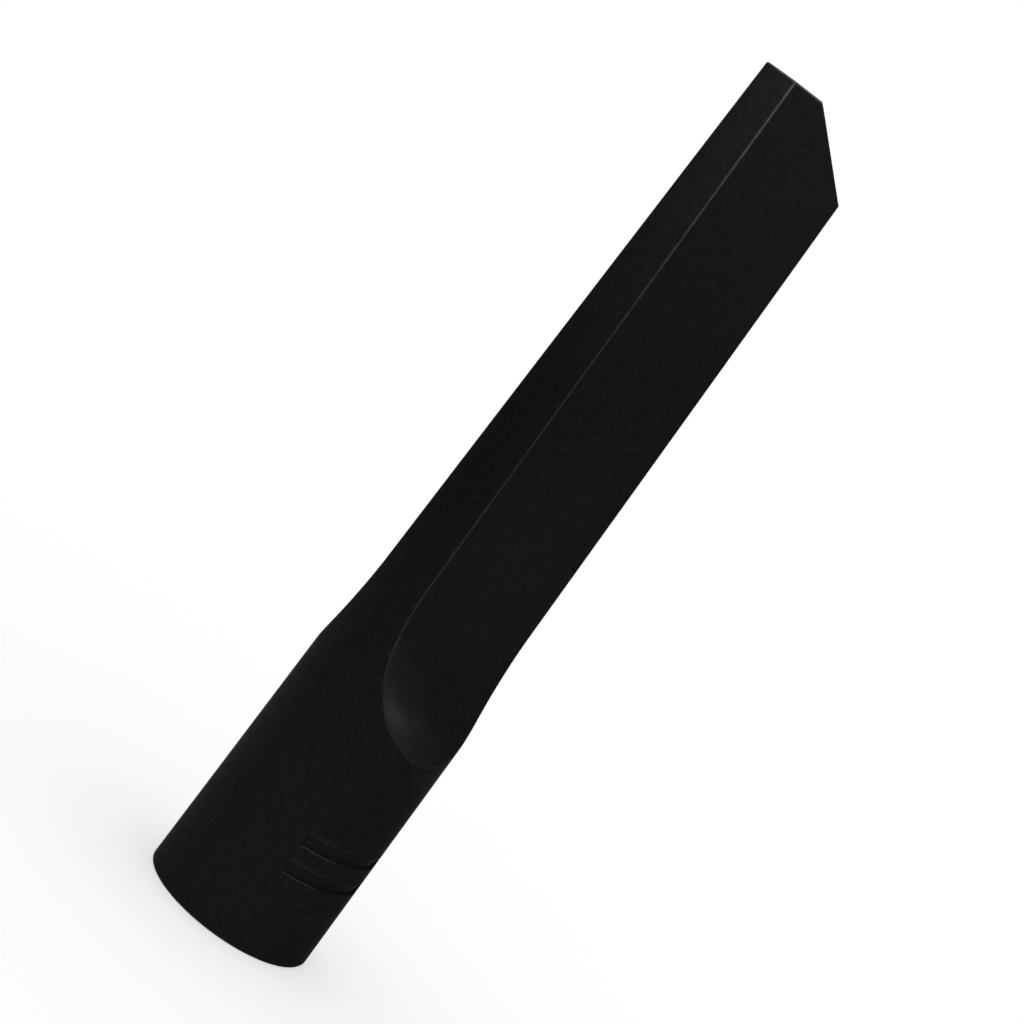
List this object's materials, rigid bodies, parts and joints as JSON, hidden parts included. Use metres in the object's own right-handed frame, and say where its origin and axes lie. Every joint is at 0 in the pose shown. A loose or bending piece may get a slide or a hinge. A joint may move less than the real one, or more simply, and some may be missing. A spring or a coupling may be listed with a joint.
{
  "type": "crevice nozzle",
  "caption": "Slender one-piece crevice nozzle for a vacuum cleaner, with a round wand socket, a scooped flat beak ending in a bevelled slot, and grip grooves.",
  "frame": {"origin": "centre of the socket's mouth, on the flat end of its rim", "axes": "+Z along the nozzle from the socket to the tip, +Y out of one broad face of the beak, +X towards the square side of the tip"},
  "size_m": [0.0392, 0.0392, 0.2067],
  "materials": {
    "body": "satin black, as moulded"
  },
  "bodies": {
    "root": {"nozzle_body": "body"}
  },
  "joints": []
}
